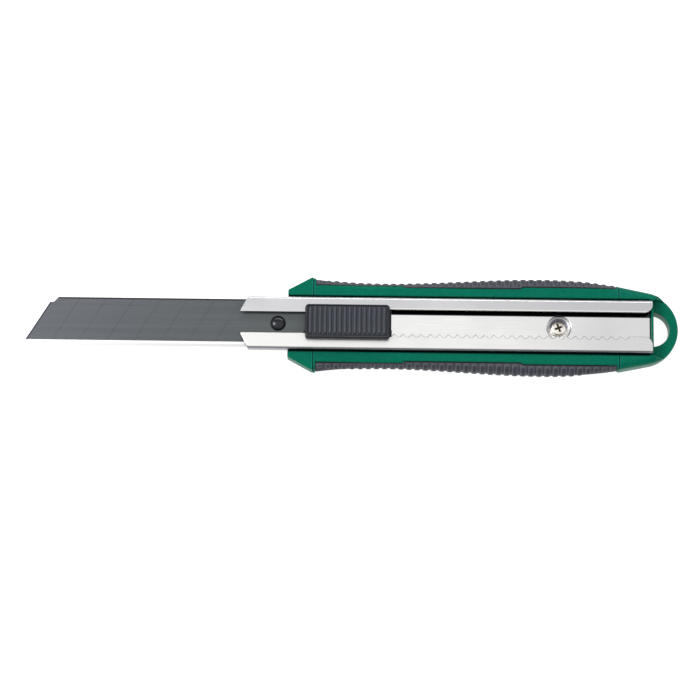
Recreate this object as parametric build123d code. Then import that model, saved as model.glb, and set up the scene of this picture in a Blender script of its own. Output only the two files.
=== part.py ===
from build123d import *
from math import acos, atan2, cos, hypot, radians, sin, tan
import os

# A utility knife with an 18 mm snap-off blade, lying on its back, its blade run fully out.
# +X points to the lanyard loop, +Y across the knife, +Z out of its face. The origin is on the
# rest plane, under the middle of the whole length. All sizes are in millimetres.

# ---- the blade ----
blade_length = 100.0
blade_width = 18.0
blade_thickness = 0.5
segment_pitch = 10.0
segment_count = 8
score_angle = 58.5          # between a score line and the cutting edge, degrees
score_width = 0.2
score_depth = 0.1
bevel_width = 2.1
edge_flat = 0.04            # thickness left at the cutting edge
corner_drop = 1.9           # the clipped corner at the top of the blade's front end
corner_flat = 1.2
peg_hole_diameter = 5.7
peg_hole_from_tail = 5.8

# ---- the channel ----
channel_length = 152.1      # along its lips
channel_depth = 5.0
channel_sheet = 0.75
channel_bend = 1.2          # outer radius of the long bends
blade_side_clearance = 0.15
side_setback = 2.9          # how far the side walls stand back from the lips' front ends
back_wall_short = 0.5       # how far the back wall stops short of the lips at the rear
slot_half = 3.9             # straight slot, and the level of the wave's crests
slot_step = 1.3             # how much the slot widens behind the stop
wave_pitch = 10.0 / 3.0
wave_depth = 1.2
wave_flank = 45.0           # degrees
wave_crest_radius = 0.3
wave_rear_margin = 8.5      # at least this much straight edge behind the wave
lip_front_land = 0.6        # blunt front end of each lip, beside the slot
lip_front_radius = 0.45
lip_rear_radius = 3.0

# ---- the handle ----
handle_depth = 10.5         # from its back to its rails
channel_proud = 1.5         # the channel's face above the rails
blade_out = 80.3            # from the blade's tip to the channel's front
nose_setback = 17.5         # from the channel's front to the nose
nose_length = 9.4
cap_overlap = 12.3          # how far the channel reaches into the rear cap
nose_front_half = 12.65
nose_peak_half = 17.4
nose_peak_land = 0.7        # the flat behind the peak
shoulder_half = 17.85       # half-widths of the gripped part, front to rear
waist_half = 16.1
bulge_half = 18.25
tail_half = 16.05
waist_from_front = 29.9
bulge_from_front = 82.0
top_round = 3.4             # rounding of the gripped part's long edges
bottom_round = 6.4
nose_bottom_round = 5.4
cap_front_half = 15.7       # half-width of the rear cap at the parting line
cap_end_radius = 13.7
cap_round = 2.8             # rounding of the cap's long edges, above and below
trough_gap = 0.6            # each side of the channel, down to its seat
seat_depth = 1.2            # height of the seat that locates the channel
seat_clearance = 0.05
wall = 2.2

# ---- the grips ----
grip_front_margin = 0.9
grip_rear_margin = 0.7
rail_edge_ends = 14.5       # where the rails meet the grips, at both ends
rail_edge_middle = 13.85    # and along the middle
rail_step_front = 32.0      # from the grips' front to where the edge steps in
rail_step_rear = 75.5
rail_step_run = 1.0

# ---- screws, inserts, back cover ----
screw_from_parting = 22.1   # from each end of the core
screw_diameter = 3.0
screw_head_diameter = 5.4
screw_head_height = 0.95
screw_length = 4.6
screw_recess_width = 0.8
screw_recess_span = 3.2
screw_recess_depth = 0.6
screw_clearance = 0.1
dimple_diameter = 9.5
dimple_depth = 1.1
dimple_slope = 1.6          # run of the dimple's side for each millimetre down
insert_diameter = 4.6
insert_length = 3.2
boss_diameter = 8.4
floor_thickness = 1.8       # of the core, under the channel
cover_thickness = 1.6
cover_clearance = 0.1
cover_ledge = 1.0
cover_margin = 0.5          # flat left beside the cover at the waist
rib_thickness = 1.6
rib_spacing = 18.0

# ---- the rear cap ----
hole_radius = 6.4
loop_band = 3.1
loop_thickness = 6.4
stop_wall = 0.75            # between the channel's rear end and the lanyard hole
stop_wall_clearance = 0.1
ramp_run = 4.0              # over which the cap's rails slope down to the loop
ramp_start = 0.7            # behind the channel's rear end
tongue_length = 8.0
tongue_half = 8.0
tongue_thickness = 3.0
tongue_base = 2.2
tongue_clearance = 0.15
latch_length = 2.5
latch_from_end = 2.3        # from the lips' rear end to the latch's window
latch_height = 2.4
latch_clearance = 0.1

# ---- the carriage ----
slide_clearance = 0.1       # over the channel's back wall
side_clearance = 0.25
carrier_plate = 1.25
carrier_front = 10.4        # from the blade's tail to the carrier's front end
carrier_tail_gap = 0.3      # behind the blade's slanted tail
carrier_block_front = 5.1   # from the blade's tail to the carrier's thick part
lip_clearance = 0.15        # over the thick part, under the lips
neck_half = 3.55
neck_overrun = 0.7          # behind the button
stop_lug_length = 4.9
stop_gap = 0.5
lug_clearance = 0.3
peg_diameter = 5.4
peg_land = 0.6              # straight part of the peg above the carrier
peg_dome = 1.3
rivet_diameter = 2.4
rivet_clearance = 0.05
spring_thickness = 0.5
spring_length = 26.0
spring_offset = 2.9         # of the leaf from the middle plane
spring_height = 2.4
spring_play = 0.05
spring_swing = 1.4          # room for the leaf when its tooth rides over a crest
spring_held = 4.0           # length of the leaf that the carrier grips
tooth_clearance = 0.08
tooth_from_button = 0.14    # behind the button's rear end

# ---- the button ----
button_length = 31.0
button_width = 12.8
button_from_tail = 4.3      # from the blade's tail to the button's front end
button_height = 4.8         # above the channel's face
button_travel = 0.8
button_air = 0.1            # left under the pressed button
button_corner = 1.0
flange_height = 1.2
flange_step = 0.45
rim_end = 1.0
rim_side = 0.6
pad_sink = 1.1
pad_thickness = 0.5
pad_below_rim = 0.2
ridge_count = 16
ridge_pitch = 1.81
ridge_radius = 0.62
ridge_margin = 0.15         # between a ridge's ends and the frame
stem_length = 19.6
stem_width = 3.0
stem_depth = 2.6
stem_offset = 1.2
stem_clearance = 0.2

# ---- places along X, from the two ends inward ----
loop_reach = stop_wall_clearance - back_wall_short + stop_wall + hole_radius + loop_band
overall_length = blade_out + channel_length + loop_reach
tip_x = -overall_length / 2
tail_x = tip_x + blade_length
channel_front = tip_x + blade_out
channel_rear = channel_front + channel_length
loop_end = channel_rear + loop_reach
core_length = channel_length - nose_setback - nose_length - cap_overlap
nose_front = channel_front + nose_setback
core_front = nose_front + nose_length
core_rear = core_front + core_length
grip_front = core_front + grip_front_margin
grip_rear = core_rear - grip_rear_margin
peg_x = tail_x - peg_hole_from_tail
screw_places = (core_front + screw_from_parting, core_rear - screw_from_parting)
button_front = tail_x + button_from_tail
button_rear = button_front + button_length
neck_rear = button_rear + neck_overrun
stem_x = (button_front + button_rear) / 2
tooth_x = button_rear + tooth_from_button
notch_count = int((channel_rear - wave_rear_margin - tooth_x) / wave_pitch + 0.5)
stop_x = neck_rear - stop_lug_length - stop_gap
stop_wall_x = channel_rear - back_wall_short + stop_wall_clearance
hole_x = stop_wall_x + stop_wall

# ---- levels along Z ----
channel_face = handle_depth + channel_proud
channel_back = channel_face - channel_depth
channel_inside = channel_back + channel_sheet
lip_inside = channel_face - channel_sheet
carrier_bottom = channel_inside + slide_clearance
blade_bottom = carrier_bottom + carrier_plate
blade_top = blade_bottom + blade_thickness
carrier_top = lip_inside - lip_clearance
neck_top = channel_face
button_bottom = channel_face + button_air + button_travel
button_top = channel_face + button_height
rim_top = button_top - pad_below_rim
pocket_top = channel_back - floor_thickness
dimple_floor = channel_inside - dimple_depth
dimple_bottom = channel_back - dimple_depth
screw_end = dimple_floor - screw_length
insert_bottom = dimple_bottom - insert_length
spring_top = neck_top - spring_play
spring_bottom = spring_top - spring_height
stem_bottom = button_bottom - stem_depth
latch_middle = (channel_back + channel_face) / 2

# ---- widths along Y ----
channel_half = blade_width / 2 + blade_side_clearance + channel_sheet
channel_width = 2 * channel_half
trough_half = channel_half + trough_gap
inside_half = channel_half - channel_sheet
carrier_half = inside_half - side_clearance
score_lean = 1 / tan(radians(score_angle))
wave_low = slot_half + wave_depth
wave_radii = (wave_pitch / 2 * tan(radians(wave_flank)) - wave_depth) / (
    1 / cos(radians(wave_flank)) - 1
)
wave_trough_radius = wave_radii - wave_crest_radius
dimple_rim = dimple_diameter / 2
dimple_foot = dimple_rim - dimple_slope * dimple_depth
cover_half = waist_half - bottom_round - cover_margin

past = 1.0                  # how far a cutting shape runs past what it cuts
near = 0.01                 # two places closer than this are one


def block(x0, x1, y0, y1, z0, z1):
    """A box between two corners."""
    size = Box(x1 - x0, y1 - y0, z1 - z0)
    return Pos((x0 + x1) / 2, (y0 + y1) / 2, (z0 + z1) / 2) * size


def prism(points, z0, z1):
    """A flat outline, raised from z0 to z1."""
    return Pos(0, 0, z0) * extrude(Polygon(*points, align=None), z1 - z0, dir=(0, 0, 1))


def rod(x, y, radius, z0, z1):
    """An upright cylinder."""
    return Pos(x, y, (z0 + z1) / 2) * Cylinder(radius, z1 - z0)


def cup(x, low_radius, high_radius, z0, z1):
    """An upright cone frustum on the middle plane, wider at its top."""
    return Pos(x, 0, (z0 + z1) / 2) * Cone(low_radius, high_radius, z1 - z0)


# ---------------------------------------------------------------- blade

def make_blade():
    """One plate: slanted front with a clipped corner, slanted tail, ground edge, scores."""
    half = blade_width / 2
    corner_y = half - corner_drop
    corner_x = tip_x + (blade_width - corner_drop) * score_lean
    shape = prism(
        [
            (tip_x, -half),
            (tail_x, -half),
            (tail_x + blade_width * score_lean, half),
            (corner_x + corner_flat + corner_drop, half),
            (corner_x + corner_flat, corner_y),
            (corner_x, corner_y),
        ],
        blade_bottom,
        blade_top,
    )
    middle = (blade_bottom + blade_top) / 2
    for face, lip in ((blade_top, edge_flat / 2), (blade_bottom, -edge_flat / 2)):
        over = face + (face - middle)
        ground = Polygon(
            (-half, middle + lip), (-half + bevel_width, face), (-half, over), align=None
        )
        run = Pos(tip_x - past, 0, 0) * extrude(Plane.YZ * ground, blade_length + 2 * past)
        shape -= run
    for k in range(1, segment_count):
        x = tip_x + k * segment_pitch
        lean = blade_width * score_lean
        shape -= prism(
            [
                (x - score_width / 2, -half),
                (x + score_width / 2, -half),
                (x + lean + score_width / 2, half),
                (x + lean - score_width / 2, half),
            ],
            blade_top - score_depth,
            blade_top + past,
        )
    return shape - rod(peg_x, 0, peg_hole_diameter / 2, blade_bottom - past, blade_top + past)


# ---------------------------------------------------------------- channel

def wave_edges():
    """The wave-cut edge: round troughs and crests joined by straight flanks, front to rear."""
    flank = radians(wave_flank)
    crest_out, crest_y = wave_crest_radius * sin(flank), -slot_half - wave_crest_radius * (1 - cos(flank))
    trough_out = wave_trough_radius * sin(flank)
    trough_y = -wave_low + wave_trough_radius * (1 - cos(flank))
    edges = []
    for n in range(notch_count):
        x = tooth_x + n * wave_pitch
        left, right = x - wave_pitch / 2, x + wave_pitch / 2
        edges += [
            Line((left + crest_out, crest_y), (x - trough_out, trough_y)),
            ThreePointArc((x - trough_out, trough_y), (x, -wave_low), (x + trough_out, trough_y)),
            Line((x + trough_out, trough_y), (right - crest_out, crest_y)),
        ]
        if n < notch_count - 1:
            crest = ((right - crest_out, crest_y), (right, -slot_half), (right + crest_out, crest_y))
            edges.append(ThreePointArc(*crest))
    half_out = wave_crest_radius * sin(flank / 2)
    half_y = -slot_half - wave_crest_radius * (1 - cos(flank / 2))
    first = tooth_x - wave_pitch / 2
    last = tooth_x + (notch_count - 0.5) * wave_pitch
    lead_in = ThreePointArc(
        (first, -slot_half), (first + half_out, half_y), (first + crest_out, crest_y)
    )
    lead_out = ThreePointArc((last - crest_out, crest_y), (last - half_out, half_y), (last, -slot_half))
    return [lead_in] + edges + [lead_out]


def slot_face():
    """The slot between the lips, running out past both of the channel's ends."""
    front, rear = channel_front - past, channel_rear + past
    wide = slot_half + slot_step
    corners = [
        (tooth_x + (notch_count - 0.5) * wave_pitch, -slot_half),
        (rear, -slot_half),
        (rear, wide),
        (stop_x, wide),
        (stop_x, slot_half),
        (front, slot_half),
        (front, -slot_half),
        (tooth_x - wave_pitch / 2, -slot_half),
    ]
    return make_face(wave_edges() + Polyline(*corners).edges())


def make_channel():
    """A rolled tube of sheet, slit along its face, with its ends trimmed and its dimples sunk."""
    height = (channel_back + channel_face) / 2
    outer = RectangleRounded(channel_width, channel_depth, channel_bend)
    inner = RectangleRounded(
        channel_width - 2 * channel_sheet,
        channel_depth - 2 * channel_sheet,
        channel_bend - channel_sheet,
    )
    tube = extrude(Plane.YZ * (outer - inner), channel_length)
    shape = Pos(channel_front, 0, height) * tube
    shape -= Pos(0, 0, lip_inside - 0.5) * extrude(slot_face(), 2)
    side_front = channel_front + side_setback
    for side in (1, -1):
        shape -= prism(
            [
                (channel_front - past, side * (slot_half + lip_front_land)),
                (channel_front, side * (slot_half + lip_front_land)),
                (side_front, side * channel_half),
                (side_front, side * (channel_half + past)),
                (channel_front - past, side * (channel_half + past)),
            ],
            channel_back - past,
            channel_face + past,
        )
    middle = (channel_inside + lip_inside) / 2
    shape -= block(
        channel_front - past, side_front, -channel_half, channel_half, channel_back - past, middle
    )
    rear_wall = channel_rear - back_wall_short
    shape -= block(
        rear_wall,
        channel_rear + past,
        -channel_half - past,
        channel_half + past,
        channel_back - past,
        middle,
    )
    upright = shape.edges().filter_by(Axis.Z)
    slot_corners = (-slot_half, slot_half + slot_step)
    rear_corners = [
        e for e in upright
        if abs(e.center().X - channel_rear) < near
        and min(abs(e.center().Y - y) for y in slot_corners) < near
    ]
    shape = fillet(rear_corners, lip_rear_radius)
    front_corners = [
        e for e in shape.edges().filter_by(Axis.Z)
        if abs(e.center().X - channel_front) < near and abs(e.center().Y) < slot_half + near
    ]
    shape = fillet(front_corners, lip_front_radius)
    bore = screw_diameter / 2 + screw_clearance
    for x in screw_places:
        shape += cup(x, dimple_foot, dimple_rim, dimple_bottom, channel_back)
        shape -= cup(x, dimple_foot, dimple_rim, dimple_floor, channel_inside)
        shape -= rod(x, 0, bore, dimple_bottom - past, dimple_floor + past)
    return shape - latch_window()


def latch_span():
    rear = channel_rear - latch_from_end
    return rear - latch_length, rear


def latch_window():
    """The window in the channel's wall that the cap's latch snaps into."""
    front, rear = latch_span()
    tall = latch_height / 2 + latch_clearance
    return block(
        front - latch_clearance,
        rear + latch_clearance,
        inside_half - 0.1,
        channel_half + 0.1,
        latch_middle - tall,
        latch_middle + tall,
    )


# ---------------------------------------------------------------- handle

def gripped_body():
    """The gripped part of the handle as one rounded block, from parting line to parting line."""
    side = Spline(
        (core_front, shoulder_half),
        (core_front + waist_from_front, waist_half),
        (core_front + bulge_from_front, bulge_half),
        (core_rear, tail_half),
    )
    other = mirror(side, Plane.XZ)
    ends = [
        Line((core_front, shoulder_half), (core_front, -shoulder_half)),
        Line((core_rear, tail_half), (core_rear, -tail_half)),
    ]
    body = extrude(make_face(side.edges() + other.edges() + ends), handle_depth)
    long_edges = body.edges().filter_by(GeomType.BSPLINE).group_by(Axis.Z)
    body = fillet(long_edges[-1], top_round)
    low_edges = body.edges().filter_by(GeomType.BSPLINE).group_by(Axis.Z)[0]
    return fillet(low_edges, bottom_round)


def grip_zone(side):
    """Everything outside the rails on one side, between the grips' two ends."""
    step_in = grip_front + rail_step_front
    step_out = grip_front + rail_step_rear
    beyond = bulge_half + shoulder_half
    points = [
        (grip_front, rail_edge_ends),
        (step_in, rail_edge_ends),
        (step_in + rail_step_run, rail_edge_middle),
        (step_out, rail_edge_middle),
        (step_out + rail_step_run, rail_edge_ends),
        (grip_rear, rail_edge_ends),
        (grip_rear, beyond),
        (grip_front, beyond),
    ]
    return prism([(x, side * y) for x, y in points], -past, handle_depth + past)


def trough(front, rear, floor_gap=0):
    """The room for the channel: a close seat below and a gap beside it above."""
    seat_half = channel_half + seat_clearance
    floor = channel_back - floor_gap
    seat = block(front, rear, -seat_half, seat_half, floor, handle_depth + past)
    room = block(
        front, rear, -trough_half, trough_half, channel_back + seat_depth, handle_depth + past
    )
    return seat + room


def tongue(front, rear, clearance):
    return block(
        front,
        rear,
        -tongue_half - clearance,
        tongue_half + clearance,
        tongue_base - clearance,
        tongue_base + tongue_thickness + clearance,
    )


def pocket_span():
    return core_front + wall, core_rear - wall


def make_core():
    """The moulded body: rails and floor on top, hollow and ribbed below."""
    body = gripped_body() - grip_zone(1) - grip_zone(-1)
    body -= trough(core_front - past, core_rear + past)
    front, rear = pocket_span()
    inner_half = cover_half - cover_ledge
    pocket = block(
        front + cover_ledge, rear - cover_ledge, -inner_half, inner_half, -past, pocket_top
    )
    rib_count = int((rear - front) // rib_spacing)
    rib_gap = (rear - front) / (rib_count + 1)
    for k in range(1, rib_count + 1):
        x = front + k * rib_gap
        half = rib_thickness / 2
        pocket -= block(x - half, x + half, -inner_half, inner_half, cover_thickness, pocket_top)
    for x in screw_places:
        pocket -= rod(x, 0, boss_diameter / 2, cover_thickness, pocket_top)
    body -= pocket
    body -= cover_plate(cover_clearance)
    for x in screw_places:
        body -= cup(x, dimple_foot, dimple_rim, dimple_bottom, channel_back)
        body -= rod(x, 0, insert_diameter / 2, insert_bottom, dimple_bottom)
        body -= rod(x, 0, screw_diameter / 2 + screw_clearance, screw_end - screw_clearance, channel_back)
    body += tongue(core_front - tongue_length, core_front, 0)
    body += tongue(core_rear, core_rear + tongue_length, 0)
    return body


def cover_plate(clearance):
    front, rear = pocket_span()
    half = cover_half + clearance
    return block(front - clearance, rear + clearance, -half, half, -clearance, cover_thickness)


def make_back_cover():
    front, rear = pocket_span()
    return block(front, rear, -cover_half, cover_half, 0, cover_thickness)


def make_grip(side):
    return gripped_body() & grip_zone(side)


def nose_block(front_half, rear_half):
    """A straight-sided block as long as the nose, with its two lower edges rounded."""
    shape = prism(
        [
            (nose_front, -front_half),
            (core_front, -rear_half),
            (core_front, rear_half),
            (nose_front, front_half),
        ],
        0,
        handle_depth,
    )
    low_edges = shape.edges().group_by(Axis.Z)[0]
    flanks = [e for e in low_edges if nose_front + near < e.center().X < core_front - near]
    return fillet(flanks, nose_bottom_round)


def make_nose():
    """Two wedges that flare up to the grips, joined under the channel."""
    flare = (nose_peak_half - nose_front_half) / (nose_length - nose_peak_land)
    wedges = nose_block(nose_front_half, nose_peak_half + flare * nose_peak_land)
    shape = wedges & nose_block(nose_peak_half, nose_peak_half)
    shape -= trough(nose_front - past, core_front + past)
    return shape - tongue(core_front - tongue_length - tongue_clearance, core_front, tongue_clearance)


# ---------------------------------------------------------------- rear cap

def cap_outline():
    """The cap in plan: straight sides that run into a round end, along its tangents."""
    centre_x = loop_end - cap_end_radius
    away = hypot(core_rear - centre_x, cap_front_half)
    turn = atan2(cap_front_half, core_rear - centre_x) - acos(cap_end_radius / away)
    touch_x, touch_y = centre_x + cap_end_radius * cos(turn), cap_end_radius * sin(turn)
    return make_face(
        [
            Line((core_rear, -cap_front_half), (core_rear, cap_front_half)),
            Line((core_rear, cap_front_half), (touch_x, touch_y)),
            ThreePointArc((touch_x, touch_y), (loop_end, 0), (touch_x, -touch_y)),
            Line((touch_x, -touch_y), (core_rear, -cap_front_half)),
        ]
    )


def make_cap():
    """The end cap: rails beside the channel, a stop wall behind it and the lanyard loop."""
    shape = extrude(cap_outline(), handle_depth)
    levels = shape.edges().filter_by(Axis.Z, reverse=True).group_by(Axis.Z)
    outer = [e for e in levels[0] + levels[-1] if e.center().X > core_rear + near]
    shape = fillet(outer, cap_round)
    shape -= trough(core_rear - past, stop_wall_x, seat_clearance)
    shape -= block(
        stop_wall_x, loop_end + past, -trough_half, trough_half, loop_thickness, handle_depth + past
    )
    stop_top = lip_inside - stop_wall_clearance
    stop_half = inside_half - side_clearance
    shape += block(stop_wall_x, hole_x, -stop_half, stop_half, loop_thickness, stop_top)
    ramp_front = channel_rear + ramp_start
    ramp = Polygon(
        (ramp_front, handle_depth),
        (ramp_front + ramp_run, loop_thickness),
        (loop_end + past, loop_thickness),
        (loop_end + past, handle_depth + past),
        (ramp_front, handle_depth + past),
        align=None,
    )
    shape -= Pos(0, bulge_half, 0) * extrude(Plane.XZ * ramp, 2 * bulge_half)
    disc = rod(hole_x, 0, hole_radius, -past, loop_thickness + past)
    shape -= disc & block(hole_x, loop_end, -hole_radius, hole_radius, -past, loop_thickness + past)
    pocket_rear = core_rear + tongue_length + tongue_clearance
    return shape - tongue(core_rear - past, pocket_rear, tongue_clearance)


def make_latch():
    """The tip of the cap's snap finger, standing in the channel's window."""
    front, rear = latch_span()
    tall = latch_height / 2
    inner = inside_half + 2 * latch_clearance
    return block(front, rear, inner, trough_half, latch_middle - tall, latch_middle + tall)


# ---------------------------------------------------------------- screws

def make_screws():
    """Two cross-recess machine screws, sunk in the channel's dimples."""
    shapes = []
    top = dimple_floor + screw_head_height
    half, span = screw_recess_width / 2, screw_recess_span / 2
    for x in screw_places:
        head = rod(x, 0, screw_head_diameter / 2, dimple_floor, top)
        head = fillet(head.edges().group_by(Axis.Z)[-1], screw_head_height / 3)
        screw = head + rod(x, 0, screw_diameter / 2, screw_end, dimple_floor)
        screw -= block(x - half, x + half, -span, span, top - screw_recess_depth, top + past)
        screw -= block(x - span, x + span, -half, half, top - screw_recess_depth, top + past)
        shapes.append(screw)
    return Compound(children=shapes)


def make_inserts():
    """Two threaded sleeves in the core's bosses."""
    shapes = []
    bore = (screw_diameter + screw_clearance) / 2
    for x in screw_places:
        sleeve = rod(x, 0, insert_diameter / 2, insert_bottom, dimple_bottom)
        shapes.append(sleeve - rod(x, 0, bore, insert_bottom - past, dimple_bottom + past))
    return Compound(children=shapes)


# ---------------------------------------------------------------- carriage

def tail_line(y):
    """Where the carrier may start at a given y, behind the blade's slanted tail."""
    return tail_x + carrier_tail_gap + (y + blade_width / 2) * score_lean


def spring_groove():
    """The room for the leaf spring: gripped in front, free behind, deepest at its tooth."""
    leaf = spring_thickness / 2
    front = tooth_x - spring_length
    low, high = spring_bottom - spring_play, neck_top + past
    held = block(
        front - spring_play,
        front + spring_held,
        -spring_offset - leaf - spring_play,
        -spring_offset + leaf + spring_play,
        low,
        high,
    )
    free_back = -spring_offset + leaf + spring_swing
    free = block(front + spring_held, neck_rear + past, -neck_half - past, free_back, low, high)
    nest = block(
        tooth_x - wave_pitch / 2, neck_rear + past, -wave_low - spring_play, free_back, low, high
    )
    return held + free + nest


def stem_block(clearance, below):
    """The button's stem, or the pocket for it."""
    half_long = stem_length / 2 + clearance
    half_wide = stem_width / 2 + clearance
    return block(
        stem_x - half_long,
        stem_x + half_long,
        stem_offset - half_wide,
        stem_offset + half_wide,
        stem_bottom - below,
        button_bottom,
    )


def make_carrier():
    """The slider in the channel: a sled under the blade, a block behind it, a neck in the slot."""
    sled = block(
        tail_x - carrier_front, neck_rear, -carrier_half, carrier_half, carrier_bottom, blade_bottom
    )
    front = tail_x + carrier_block_front
    turn_y = (front - tail_x - carrier_tail_gap) / score_lean - blade_width / 2
    body = prism(
        [
            (front, -carrier_half),
            (neck_rear, -carrier_half),
            (neck_rear, carrier_half),
            (tail_line(carrier_half), carrier_half),
            (front, turn_y),
        ],
        blade_bottom,
        carrier_top,
    )
    neck = block(tail_line(neck_half), neck_rear, -neck_half, neck_half, carrier_top, neck_top)
    lug_y = slot_half + slot_step - lug_clearance
    lug = block(neck_rear - stop_lug_length, neck_rear, neck_half, lug_y, carrier_top, neck_top)
    shape = sled + body + neck + lug
    shape -= stem_block(stem_clearance, button_travel + stem_clearance)
    shape -= spring_groove()
    bore = rivet_diameter / 2 + rivet_clearance
    return shape - rod(peg_x, 0, bore, carrier_bottom - past, blade_bottom + past)


def make_peg():
    """A domed peg that stands through the blade, riveted in the sled."""
    radius = peg_diameter / 2
    land_top = blade_bottom + peg_land
    ball = (radius**2 + peg_dome**2) / (2 * peg_dome)
    dome = Pos(peg_x, 0, land_top + peg_dome - ball) * Sphere(ball)
    dome &= rod(peg_x, 0, radius, land_top, land_top + peg_dome)
    shank = rod(peg_x, 0, rivet_diameter / 2, carrier_bottom + rivet_clearance, blade_bottom)
    return rod(peg_x, 0, radius, blade_bottom, land_top) + dome + shank


def make_spring():
    """A leaf on edge with a round-nosed tooth that rests in a trough of the wave-cut lip."""
    leaf = spring_thickness / 2
    radius = wave_trough_radius - tooth_clearance
    centre_y = -wave_low + wave_trough_radius
    front = tooth_x - spring_length
    back = -spring_offset + leaf
    strip = block(
        front, tooth_x + radius, -spring_offset - leaf, back, spring_bottom, spring_top
    )
    arm = block(tooth_x - radius, tooth_x + radius, centre_y, back, spring_bottom, spring_top)
    return strip + arm + rod(tooth_x, centre_y, radius, spring_bottom, spring_top)


# ---------------------------------------------------------------- button

def slab(length, width, corner, z0, z1):
    """A plate with round corners, centred on the button."""
    return Pos(stem_x, 0, z0) * extrude(RectangleRounded(length, width, corner), z1 - z0)


def pad_size():
    width = button_width - 2 * flange_step - 2 * rim_side
    return button_length - 2 * rim_end, width, button_corner - rim_side / 2


def make_button():
    """A stepped slab with a sunk frame for the pad, and a stem down into the carrier."""
    flange_top = button_bottom + flange_height
    upper_width = button_width - 2 * flange_step
    shape = slab(button_length, button_width, button_corner, button_bottom, flange_top)
    shape += slab(button_length - flange_step, upper_width, button_corner, flange_top, rim_top)
    shape -= slab(*pad_size(), rim_top - pad_sink, rim_top + past)
    return shape + stem_block(0, 0)


def make_pad():
    """A thin pad with ridges across it."""
    floor = rim_top - pad_sink
    shape = slab(*pad_size(), floor, floor + pad_thickness)
    half = pad_size()[1] / 2 - ridge_margin
    axis_z = button_top - ridge_radius
    for k in range(ridge_count):
        x = stem_x + (k - (ridge_count - 1) / 2) * ridge_pitch
        crown = Pos(x, 0, axis_z) * (Rot(90, 0, 0) * Cylinder(ridge_radius, 2 * half))
        shape += crown + block(x - ridge_radius, x + ridge_radius, -half, half, floor, axis_z)
    return shape


pieces = {
    "blade": make_blade(),
    "blade_peg": make_peg(),
    "blade_carrier": make_carrier(),
    "lock_spring": make_spring(),
    "thumb_button": make_button(),
    "thumb_pad": make_pad(),
    "blade_channel": make_channel(),
    "channel_screws": make_screws(),
    "screw_inserts": make_inserts(),
    "handle_core": make_core(),
    "back_cover": make_back_cover(),
    "front_nose": make_nose(),
    "upper_grip": make_grip(1),
    "lower_grip": make_grip(-1),
    "rear_cap": make_cap(),
    "cap_latch": make_latch(),
}

os.makedirs("parts", exist_ok=True)
for name, shape in pieces.items():
    export_step(shape, f"parts/{name}.step")
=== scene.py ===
# %% [markdown]
# A snap-off utility knife lies on its back on a pale table, its blade run fully out. The model's
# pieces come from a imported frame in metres: +X points to the lanyard loop, +Y across the knife
# and +Z out of its face. Every piece made here takes its place from that frame.

# %% Load the frame
import math

import bmesh
import bpy
from mathutils import Matrix, Vector
from mathutils.bvhtree import BVHTree


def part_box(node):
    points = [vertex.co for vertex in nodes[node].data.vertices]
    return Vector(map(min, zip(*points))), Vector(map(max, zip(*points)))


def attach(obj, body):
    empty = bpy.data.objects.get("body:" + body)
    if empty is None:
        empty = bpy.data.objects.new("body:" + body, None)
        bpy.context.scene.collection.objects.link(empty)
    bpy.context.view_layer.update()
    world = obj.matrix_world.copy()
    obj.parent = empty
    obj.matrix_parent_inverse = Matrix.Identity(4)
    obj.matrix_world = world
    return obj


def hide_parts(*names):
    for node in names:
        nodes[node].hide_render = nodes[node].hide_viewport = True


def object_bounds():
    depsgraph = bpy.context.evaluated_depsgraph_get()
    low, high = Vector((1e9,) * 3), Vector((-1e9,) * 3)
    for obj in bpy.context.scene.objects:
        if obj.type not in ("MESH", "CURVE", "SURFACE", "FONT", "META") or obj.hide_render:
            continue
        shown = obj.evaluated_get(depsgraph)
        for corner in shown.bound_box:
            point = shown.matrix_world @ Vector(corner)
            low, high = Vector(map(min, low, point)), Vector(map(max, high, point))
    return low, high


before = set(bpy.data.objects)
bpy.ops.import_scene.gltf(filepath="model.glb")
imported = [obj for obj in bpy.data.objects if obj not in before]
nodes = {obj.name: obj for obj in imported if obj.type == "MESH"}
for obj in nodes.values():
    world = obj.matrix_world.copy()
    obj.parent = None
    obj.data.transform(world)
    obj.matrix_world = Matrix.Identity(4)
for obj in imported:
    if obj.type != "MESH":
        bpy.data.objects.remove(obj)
cad_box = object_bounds()
MM = 0.001

# %% [markdown]
# The camera stands about a metre away and looks down, a little from the cutting edge's side, with
# a long lens, so that lines stay almost parallel.

# %% Camera
CAMERA_TILT = math.radians(12.0)
CAMERA_ROLL = math.radians(0.70)
CAMERA_DISTANCE = 1.0
CAMERA_LENS = 139.4
CAMERA_AIM = Vector((-0.24, -9.5, 8.4)) * MM


def make_camera():
    """A camera aimed at one point, tilted from straight down and turned a little about its own axis."""
    away = Vector((0, -math.sin(CAMERA_TILT), math.cos(CAMERA_TILT)))
    level = Vector((1, 0, 0))
    rise = away.cross(level)
    right = math.cos(CAMERA_ROLL) * level + math.sin(CAMERA_ROLL) * rise
    up = away.cross(right)
    data = bpy.data.cameras.new("camera")
    data.lens = CAMERA_LENS
    data.clip_start = 0.05
    camera = bpy.data.objects.new("camera", data)
    bpy.context.collection.objects.link(camera)
    turn = Matrix((right, up, away)).transposed().to_4x4()
    camera.matrix_world = Matrix.Translation(CAMERA_AIM + away * CAMERA_DISTANCE) @ turn
    bpy.context.scene.camera = camera
    return camera


camera = make_camera()
print("camera at", [round(v, 3) for v in camera.location])

# %% [markdown]
# Small shiny tools are lit in a tent of white cloth: light comes from nearly all round. A few strips
# of the tent are left dark, because polished steel with nothing dark to mirror looks like paper. The
# world shader is the tent: its brightness depends only on the angle from straight up, measured
# across the knife. So each long bend of the channel mirrors the same strips all along its length.

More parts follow.
